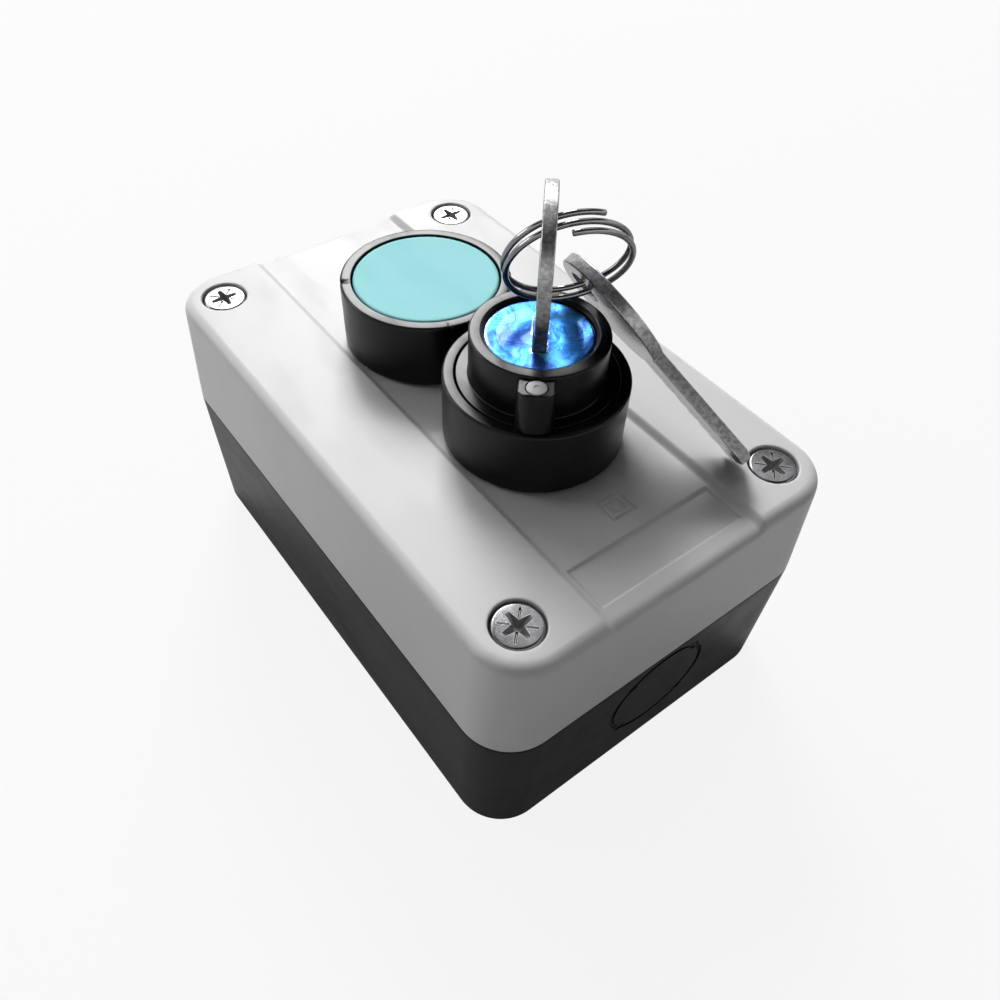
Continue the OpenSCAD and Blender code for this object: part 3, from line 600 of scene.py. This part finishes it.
def knockout_cutter(sy):
    """The scored circle of one short end, with four dimples on it."""
    bm = bmesh.new()
    lathe(bm, [(KNOCKOUT_OUTER, 0.5), (KNOCKOUT_OUTER, -0.3), (9.95, -0.55), (9.55, -0.55),
               (KNOCKOUT_INNER, -0.3), (KNOCKOUT_INNER, 0.5)], (0, 0), 96)
    middle = (KNOCKOUT_OUTER + KNOCKOUT_INNER) / 2
    for k in range(4):
        a = math.radians(45 + 90 * k)
        dimple = [(0, 0.5), (0.9, 0.5), (0.9, -0.25), (0.6, -0.55), (0, -0.55)]
        lathe(bm, dimple, (middle * math.cos(a), middle * math.sin(a)), 24, False)
    end_draft = BASE_SPREAD_Y / 2
    wall_y = BACK_LENGTH / 2 + end_draft * (KNOCKOUT_Z - BACK_EDGE) / (SPLIT - BACK_EDGE)
    tilt = math.atan(end_draft / SPLIT)
    place = (Matrix.Translation((0, sy * wall_y, KNOCKOUT_Z)) @ Matrix.Rotation(-sy * tilt, 4, "X")
             @ Matrix.Rotation(math.pi / 2 * -sy, 4, "X"))
    me = bpy.data.meshes.new("ring")
    bm.to_mesh(me)
    bm.free()
    me.transform(place)
    return me


def build_base():
    bm = bmesh.new()
    loops = []
    for degrees in range(90, 0, -18):
        a = math.radians(degrees)
        loops.append(base_outline(BACK_EDGE * (1 - math.sin(a)), BACK_EDGE * (1 - math.cos(a))))
    # up the outer wall, over the lip with its seal groove, and down the inner wall
    for z, inset in ((BACK_EDGE, 0), (4, 0), (10, 0), (17, 0), (24, 0), (27.6, 0), (27.8, 0.02),
                     (27.93, 0.09), (SPLIT, 0.22), (SPLIT, 0.8), (26.8, 0.8), (26.8, 1.8),
                     (SPLIT, 1.8), (SPLIT, 2.5), (27.9, WALL), (24, WALL), (17, WALL), (10, WALL),
                     (4.2, WALL), (3.4, 2.75), (2.85, 3.1), (2.6, 3.8)):
        loops.append(base_outline(z, inset))
    loft(bm, loops)
    post = rounded([(0, FLOOR_INSIDE, 0), (POST_RADIUS, FLOOR_INSIDE, 0),
                    (POST_RADIUS, SPLIT, 0.15), (0, SPLIT, 0)], 3, False)
    boss = rounded([(0, FLOOR_INSIDE, 0), (4.4, FLOOR_INSIDE, 0), (4.4, 3.6, 0.25), (0, 3.6, 0)],
                   3, False)
    for (sx, sy), screw, fixing in zip(CORNERS, SCREWS, FIXINGS):
        lathe(bm, post, screw, 48, False)
        lathe(bm, boss, fixing, 48, False)
        post_ribs(bm, sx, sy, 32.0, 50.2, FLOOR_INSIDE, 27.6)
    me = finish_mesh(bm, "base_shell")
    bm = bmesh.new()
    screw_bore = [(0, 14), (1.8, 14), (1.8, 27.7), (2.1, 28.4), (0, 28.4)]
    fixing_bore = [(0, -0.5), (2.5, -0.5), (2.2, 0.25), (2.2, 3.3), (2.5, 3.9), (0, 3.9)]
    for screw, fixing in zip(SCREWS, FIXINGS):
        lathe(bm, screw_bore, screw, 40, False)
        lathe(bm, fixing_bore, fixing, 40, False)
    for sy in BOTH:
        ring = knockout_cutter(sy)
        bm.from_mesh(ring)
        bpy.data.meshes.remove(ring)
    return cut(me, finish_mesh(bm, "base_cutter", 1e-5))


piece("base_shell", build_base(), "box", "base", ["base"])


# Cover screws

SCREW_HEAD_RADIUS, SHANK_RADIUS, HEAD_SEAT = 3.82, 1.75, 46.55
# the cross at each height: height, arm's half length, half widths at the tip and the middle
CROSS = ((49.2, 2.55, 0.42, 0.8), (48.7, 2.4, 0.36, 0.72), (47.6, 1.3, 0.3, 0.5),
         (47.2, 0.6, 0.24, 0.3))
TICK_START, TICK_END = 1.0, 2.9
TICK = ((49.0, 0.34), (48.42, 0.04))
RECESS_REACH, RECESS_LOW, RECESS_HIGH = 2.6, 46.9, 48.3


def build_screw(centre):
    """A pan head with a tapered cross and four radial ticks, and its shank."""
    bm = bmesh.new()
    profile = rounded([(0, 16.6, 0), (1.2, 16.5, 0), (SHANK_RADIUS, 17.4, 0),
                       (SHANK_RADIUS, 46.2, 0), (SHANK_RADIUS, HEAD_SEAT, 0),
                       (SCREW_HEAD_RADIUS, HEAD_SEAT, 0.12), (SCREW_HEAD_RADIUS, 48.42, 0.3),
                       (3.5, 48.72, 0.4), (0, 48.74, 0)], 6, False)
    lathe(bm, profile, centre, 72, False)
    me = finish_mesh(bm, "screw")
    bm = bmesh.new()
    for turn in (0, 90):
        loops = []
        for z, half, tip, waist in CROSS:
            plan = ((-half, -tip), (0, -waist), (half, -tip), (half, tip), (0, waist), (-half, tip))
            loops.append(placed(plan, math.radians(turn), centre, z))
        loft(bm, loops[::-1])
    me = cut(me, finish_mesh(bm, "cross", 1e-6))
    bm = bmesh.new()
    for turn in (45, 135):
        for side in BOTH:
            loops = []
            for z, w in TICK:
                plan = ((TICK_START, -w), (TICK_END, -w), (TICK_END, w), (TICK_START, w))
                plan = [(side * u, side * v) for u, v in plan]
                loops.append(placed(plan, math.radians(turn), centre, z))
            loft(bm, loops[::-1])
    me = cut(me, finish_mesh(bm, "ticks", 1e-6), False)
    # faces down in the cross take the second material, which is painted shade in the recess
    for f in me.polygons:
        corners = [me.vertices[i].co for i in f.vertices]
        reach = max(math.hypot(p.x - centre[0], p.y - centre[1]) for p in corners)
        low = min(p.z for p in corners)
        f.material_index = 1 if reach < RECESS_REACH and RECESS_LOW < low < RECESS_HIGH else 0
    return me


def build_screws():
    bm = bmesh.new()
    for centre in SCREWS:
        me = build_screw(centre)
        bm.from_mesh(me)
        bpy.data.meshes.remove(me)
    return finish_mesh(bm, "cover_screw_set", 1e-6)


piece("cover_screw_set", build_screws(), "box", "cover_screws",
      ["screw", "recess"], 13, False)


# Heads

CUP_RADIUS, NICK_FLOOR, NICK_RADIUS = 12.65, 58.6, 13.4
BUTTON_NICKS = [(152, 0.55, 0.35), (-26, 0.5, 0.3), (-108, 0.4, 0.15)]
KEY_NICKS = [(35, 0.5, 0.2)]


def build_bezel(y, nicks):
    """A bezel with its cup and neck, and small nicks (angle, half width, depth) in its rim."""
    bm = bmesh.new()
    profile = rounded([(NECK_BORE, NECK_END, 0.2), (NECK_RADIUS, NECK_END, 0.4),
                       (NECK_RADIUS, FOOT, 0.1), (BEZEL_RADIUS, FOOT, 0.35),
                       (BEZEL_RADIUS, BEZEL_TOP, 0.45), (CUP_RADIUS, BEZEL_TOP, 0.14),
                       (CUP_RADIUS, CUP_FLOOR, 0.3), (NECK_BORE, CUP_FLOOR, 0.2)], 6)
    lathe(bm, subdivided(profile), (0, y), 240)
    for v in bm.verts:
        r, a = math.hypot(v.co.x, v.co.y - y), math.atan2(v.co.y - y, v.co.x)
        if r <= NICK_RADIUS or v.co.z <= NICK_FLOOR:
            continue
        for angle, width, depth in nicks:
            gap = abs((a - math.radians(angle) + math.pi) % TURN - math.pi) * BEZEL_RADIUS
            if gap < width:
                k = (1 - (gap / width) ** 2) * depth
                v.co.z -= k
                v.co.x -= 0.6 * k * math.cos(a)
                v.co.y -= 0.6 * k * math.sin(a)
    return finish_mesh(bm, "bezel")


def build_seal(y):
    bm = bmesh.new()
    inner, outer = 11.05, 14.0
    lathe(bm, rounded([(inner, PANEL, 0.08), (outer, PANEL, 0.2), (outer, FOOT, 0.2),
                       (inner, FOOT, 0.08)]), (0, y))
    return finish_mesh(bm, "seal")


for name, y, nicks in (("button_bezel", GREEN_Y, BUTTON_NICKS), ("key_bezel", KEY_Y, KEY_NICKS)):
    piece(name + "_ring", build_bezel(y, nicks), "box", name, ["head"])
for name, y in (("button_seal", GREEN_Y), ("key_seal", KEY_Y)):
    piece(name + "_ring", build_seal(y), "box", name, ["seal"])


def build_cap():
    """The button's disc: a rounded rim and a faintly dished field."""
    bm = bmesh.new()
    radius, edge, edge_z = 12.4, 0.5, 59.5
    profile = [(0, 57.6), (12.2, 57.6), (radius, 57.8)]
    for degrees in range(0, 91, 15):
        a = math.radians(degrees)
        profile.append((radius - edge * (1 - math.cos(a)), edge_z + edge * math.sin(a)))
    profile += [(11.4, 59.985), (10.6, 59.95), (9.0, 59.9), (6.0, 59.84), (3.0, 59.81), (0, 59.8)]
    lathe(bm, profile, (0, GREEN_Y), 200, False)
    return finish_mesh(bm, "cap")


piece("button_cap_disc", build_cap(), "button", "button_cap", ["cap"])


def build_barrel():
    """The turning shoulder and barrel, and the pointer with the hole for its dot."""
    bm = bmesh.new()
    bore, stem, shoulder, barrel = 7.45, 9.15, 12.38, 10.5
    profile = rounded([(bore, 46.2, 0.1), (stem, 46.2, 0.2), (stem, 50.2, 0.2),
                       (shoulder, 50.2, 0.3), (shoulder, 60.0, 0.14), (barrel, 60.0, 0.2),
                       (barrel, BARREL_TOP, 0.35), (8.75, BARREL_TOP, 0.3), (8.35, 67.4, 0.2),
                       (8.3, 66.6, 0.05), (bore, 66.6, 0.1)], 6)
    lathe(bm, subdivided(profile), (0, KEY_Y), 240)
    root, corner = 9.6, 2.6
    outline = rounded([(root, -POINTER_HALF, 0), (POINTER_REACH, -POINTER_HALF, corner),
                       (POINTER_REACH, POINTER_HALF, corner), (root, POINTER_HALF, 0)], 10)
    loops = []
    for z, shrink in ((60.2, 0.0), (60.6, 0.0), (63.5, 0.0), (66.7, 0.0), (66.95, 0.04),
                      (67.15, 0.14), (67.27, 0.3), (67.3, 0.5)):
        reach, half = POINTER_REACH - shrink, POINTER_HALF - shrink
        inner = [(min(u, reach) if u > root + 0.1 else u, max(-half, min(half, v)))
                 for u, v in outline]
        loops.append(along_pointer(inner, z))
    loft(bm, loops)
    me = finish_mesh(bm, "barrel", 1e-5)
    bm = bmesh.new()
    hole = [(0, 66.9), (1.55, 66.9), (1.55, 67.15), (1.7, 67.32), (1.7, 68.2), (0, 68.2)]
    lathe(bm, hole, along_pointer([(DOT_REACH, 0)])[0][:2], 48, False)
    return cut(me, finish_mesh(bm, "dot_hole", 1e-6))


piece("key_barrel_body", build_barrel(), "lock", "key_barrel", ["head"])


def build_dot():
    """The pointer's white dot, with a small dimple in its middle."""
    bm = bmesh.new()
    rim = rounded([(0, 66.92, 0), (1.5, 66.92, 0.05), (1.5, 67.38, 0.16), (0, 67.4, 0)], 5, False)
    dimple = [(0.45, 67.4), (0.35, 67.3), (0, 67.27)]
    lathe(bm, rim[:-1] + dimple, along_pointer([(DOT_REACH, 0)])[0][:2], 64, False)
    return finish_mesh(bm, "dot", 1e-5)


piece("pointer_dot_inlay", build_dot(), "lock", "pointer_dot", ["white"])


def build_face():
    """The lock's face: a rolled rim, a dished field and the keyway through it."""
    bm = bmesh.new()
    profile = rounded([(0, 66.62, 0), (8.2, 66.62, 0.1), (8.2, 67.12, 0.12), (7.8, 67.2, 0.4),
                       (6.4, 67.12, 0.9), (3.0, 67.06, 1.2), (0, 67.1, 0)], 5, False)
    lathe(bm, profile, (0, KEY_Y), 160, False)
    me = finish_mesh(bm, "face", 1e-5)
    bm = bmesh.new()
    half, thick, corner = 4.2, 1.08, 0.3
    keyway = rounded([(-half, -thick, corner), (half, -thick, corner), (half, thick, corner),
                      (-half, thick, corner)])
    loft(bm, [along_pointer(keyway, z) for z in (66, 68)])
    return cut(me, finish_mesh(bm, "slot", 1e-6), False)


piece("lock_face_disc", build_face(), "lock", "lock_face", ["blue"], 28)


# Keys

KEY_CUTS = [(0.78, 1.1), (0.5, 0.7), (0.78, 1.1), (0.5, 0.7), (0.78, 1.1)]  # depth, half width
KEY_CUT_PITCH, KEY_CUT_FLAT = 2.6, 0.12
KEY_EDGE = 0.22
GROOVE_X, GROOVE_HALF, GROOVE_FLOOR = 1.4, 0.55, 0.5


def key_outline():
    """A round bow and a blade with cuts in one edge. The bow's lowest point is the origin."""
    start, n = math.asin(BLADE_HALF / BOW_RADIUS), 64
    outline = []
    for k in range(n + 1):
        a = -math.pi / 2 + start + (TURN - 2 * start) * k / n
        outline.append((BOW_RADIUS * math.cos(a), BOW_RADIUS + BOW_RADIUS * math.sin(a)))
    tip_y = BLADE_TIP - BLADE_LENGTH
    for i in reversed(range(len(KEY_CUTS))):
        depth, half_width = KEY_CUTS[i]
        y = 2 * BLADE_TIP - BLADE_LENGTH + i * KEY_CUT_PITCH
        floor = -BLADE_HALF + depth
        outline += [(-BLADE_HALF, y + half_width), (floor, y + KEY_CUT_FLAT),
                    (floor, y - KEY_CUT_FLAT), (-BLADE_HALF, y - half_width)]
    return outline + [(-BLADE_HALF, tip_y), (BLADE_TIP - BLADE_HALF, -BLADE_LENGTH),
                      (BLADE_HALF - BLADE_TIP, -BLADE_LENGTH), (BLADE_HALF, tip_y)]


def key_mesh():
    """A flat key with eased edges, a hole in its bow and a milled groove on each side."""
    curve = bpy.data.curves.new("key_outline", "CURVE")
    curve.dimensions, curve.fill_mode = "2D", "BOTH"
    curve.extrude, curve.offset = KEY_HALF - KEY_EDGE, -KEY_EDGE
    curve.bevel_depth, curve.bevel_resolution = KEY_EDGE, 2
    for ring in (key_outline(), circle(0, BOW_HOLE, BOW_HOLE_RADIUS, 40)):
        s = curve.splines.new("POLY")
        s.points.add(len(ring) - 1)
        for p, (x, y) in zip(s.points, ring):
            p.co = (x, y, 0, 1)
        s.use_cyclic_u = True
    obj = link("key_outline", curve)
    flat = evaluated_mesh(obj)
    bpy.data.objects.remove(obj)
    flat.transform(Matrix.Rotation(math.pi / 2, 4, "X"))
    bm = bmesh.new()
    bm.from_mesh(flat)
    bpy.data.meshes.remove(flat)
    me = finish_mesh(bm, "key")
    bm = bmesh.new()
    for side in BOTH:
        x, w, narrow = side * GROOVE_X, GROOVE_HALF, GROOVE_HALF * 0.7
        out, floor = side * 1.3, side * GROOVE_FLOOR
        loft(bm, [[(x - w, out, z), (x + w, out, z), (x + narrow, floor, z), (x - narrow, floor, z)]
                  for z in (-20.6, 1.6)])
    return cut(me, finish_mesh(bm, "grooves", 1e-6))


def place_key(name, matrix, body, node):
    me = key_mesh()
    me.materials.clear()
    for f in me.polygons:
        f.material_index = 0 if abs(f.normal.y) > 0.8 else 1
    me.transform(matrix)
    piece(name, me, body, node, ["key", "key_edge"], 30)


def turned(degrees, axis):
    return Matrix.Rotation(math.radians(degrees), 4, axis)


place_key("inserted_key_blank",
          Matrix.Translation((0, KEY_Y, BOW_Z)) @ Matrix.Rotation(POINTER, 4, "Z"),
          "first_key", "inserted_key")
place_key("spare_key_blank",
          Matrix.Translation(SPARE_HOLE) @ turned(SPARE_TURN[2], "Z") @ turned(SPARE_TURN[1], "Y")
          @ turned(SPARE_TURN[0], "X") @ turned(180, "Z") @ Matrix.Translation((0, 0, -BOW_HOLE)),
          "second_key", "spare_key")


# Split ring and springs

def coil(radius, wire, pitch, turns, start=0.0, steps=96, sides=16):
    """Turns of round wire about the origin's upright axis, with slightly rounded ends."""
    bm = bmesh.new()
    end_reach, end_share = 0.1, 0.8
    count = int(turns * steps)
    rows = []
    for i in range(-1, count + 2):
        t = min(max(i, 0), count) / steps
        a = math.radians(start + 360 * t)
        c, s = math.cos(a), math.sin(a)
        p = Vector((radius * c, radius * s, pitch * (t - turns / 2)))
        out = Vector((c, s, 0))
        ahead = Vector((-s * TURN * radius, c * TURN * radius, pitch)).normalized()
        up = ahead.cross(out)
        r = wire
        if i in (-1, count + 1):
            p += ahead * (end_reach if i > 0 else -end_reach)
            r = wire * end_share
        rows.append([bm.verts.new(p + (out * x + up * y) * r) for x, y in circle(0, 0, 1, sides)])
    for a, b in zip(rows, rows[1:]):
        for k in range(sides):
            bm.faces.new((a[k], a[(k + 1) % sides], b[(k + 1) % sides], b[k]))
    bm.faces.new(rows[0])
    bm.faces.new(rows[-1][::-1])
    return finish_mesh(bm, "coil", 1e-6)


def build_ring():
    me = coil(RING_RADIUS, 0.44, RING_PITCH, RING_TURNS, RING_START)
    me.transform(Matrix.Translation(RING_CENTRE) @ turned(RING_AZIMUTH, "Z")
                 @ turned(RING_TILT, "Y"))
    return me


piece("split_ring_wire", build_ring(), "ring", "key_ring", ["ring"], 50)


def place_spring(node, y, radius, wire, floor, top, turns, joint, travel):
    """A spring between two faces, at its resting length."""
    me = coil(radius, wire, (top - floor - 2 * wire - 0.1) / turns, turns, 0.0, 36, 12)
    me.transform(Matrix.Translation((0, y, (floor + top) / 2)))
    spring = piece(node + "_wire", me, "box", node, ["spring"], 50)
    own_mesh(spring)


place_spring("button_spring", GREEN_Y, *RETURN_SPRING, "button_press", BUTTON_TRAVEL)
place_spring("button_contact_spring", GREEN_Y, *CONTACT_SPRING, "button_contact_slide",
             BUTTON_TRAVEL)
place_spring("key_contact_spring", KEY_Y, *CONTACT_SPRING, "key_contact_slide", KEY_TRAVEL)


# Materials of the CAD nodes that no piece replaces

INSIDE = {
    "seal": ["cover_seal"],
    "nut": ["button_nut", "key_nut", "button_plate", "key_plate"],
    "inner": ["button_stem"],
    "block": ["button_block", "key_block"],
    "white": ["button_plunger", "key_plunger", "key_cam"],
    "brass": ["button_bridge", "key_bridge", "button_contacts", "key_contacts"],
    "screw": ["button_terminals", "key_terminals"],
    "plug": ["lock_plug"],
}
for mat, nodes in INSIDE.items():
    for node in nodes:
        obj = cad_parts[node]
        if not obj.data.materials:
            obj.data.materials.append(M[mat])
        for s in obj.material_slots:
            s.material = M[mat]


# Floor and backdrop

def paper(name, share, mirrored):
    """White paper: lit like any surface, and partly plain white to the eye and in mirrors."""
    n = Nodes(name)
    tone = n.ramp(n.noise(3), 0.3, 0.7)
    n.set(Base_Color=n.mix(tone, (0.62, 0.62, 0.62), (0.65, 0.65, 0.65)), Roughness=0.85)
    path = n.new("ShaderNodeLightPath", {}).outputs
    reflected = n.math("MAXIMUM", path["Is Glossy Ray"], path["Is Transmission Ray"])
    seen = n.math("MAXIMUM", n.math("MULTIPLY", path["Is Camera Ray"], share),
                  n.math("MULTIPLY", reflected, mirrored))
    white = n.new("ShaderNodeEmission", {"Color": (1, 1, 1), "Strength": 1.0}).outputs[0]
    blend = n.new("ShaderNodeMixShader", {0: seen, 1: n.bsdf.outputs[0], 2: white}).outputs[0]
    n.feed(n.tree.nodes["Material Output"].inputs["Surface"], blend)
    return n.mat


def stage_piece(name, profile, mat, closed):
    bm = bmesh.new()
    lathe(bm, profile, (0, 0), 96, closed)
    me = finish_mesh(bm, name)
    me.transform(Matrix.Scale(MM, 4))
    me.materials.append(mat)
    link(name, me)


# a pale floor, and a wall far round it that stops below the light from the lamps
REACH, HEIGHT, THICK = 4000, 2600, 20
stage_piece("floor", [(0, 0), (REACH, 0), (REACH, -THICK), (0, -THICK)],
            paper("floor_paper", 0.88, 0.08), False)
stage_piece("backdrop", [(REACH, 0), (REACH + THICK, 0), (REACH + THICK, HEIGHT), (REACH, HEIGHT)],
            paper("backdrop_paper", 1.0, 1.0), True)


# Lights: name, place and aim in metres, size in metres, watts

TARGET = (0.0, 0.0, 0.05)
LAMPS = (
    ("window", (0.786, 1.39, 1.254), TARGET, (0.64, 0.91), 32.0),
    ("window_edge", (0.26, 1.47, 1.388), TARGET, (0.9, 0.8), 11.0),
    ("side", (-0.26, 0.3, 0.2), (-0.03, 0.02, 0.03), (0.14, 0.14), 0.34),
    ("fill", (0.6, 0.35, 1.0), TARGET, (0.5, 0.5), 0.9),
    ("top", (-0.15, 0.3, 1.6), TARGET, (0.8, 0.8), 1.6),
)
for name, place, aim, (width, height), power in LAMPS:
    light = bpy.data.lights.new(name, "AREA")
    light.shape, light.size, light.size_y, light.energy = "RECTANGLE", width, height, power
    toward = (Vector(place) - Vector(aim)).to_track_quat("Z", "Y").to_matrix().to_4x4()
    link(name, light).matrix_world = Matrix.Translation(place) @ toward

world = bpy.data.worlds.new("studio")
world.use_nodes = True
sky = world.node_tree.nodes["Background"].inputs
sky["Color"].default_value = (1, 1, 1, 1)
sky["Strength"].default_value = 0.06
bpy.context.scene.world = world


# Camera: fitted to the photograph's frame of 1000 pixels

FOCAL_PIXELS, FRAME_PIXELS, SENSOR = 882.32, 1000, 36.0
CAMERA_PLACE = (-68.79, -92.19, 147.41)
RIGHT, DOWN = Vector((0.79734, -0.60265, 0.03255)), Vector((-0.43574, -0.61215, -0.65985))
AHEAD = Vector((0.41758, 0.51194, -0.75069))
cam = bpy.data.cameras.new("camera")
cam.sensor_width, cam.lens = SENSOR, SENSOR * FOCAL_PIXELS / FRAME_PIXELS
cam.clip_start, cam.clip_end = 0.01, 20
cam_obj = link("camera", cam)
cam_obj.matrix_world = (Matrix.Translation(Vector(CAMERA_PLACE) * MM)
                        @ Matrix((RIGHT, -DOWN, -AHEAD)).transposed().to_4x4())
bpy.context.scene.camera = cam_obj
bpy.context.scene.view_settings.view_transform = "Standard"
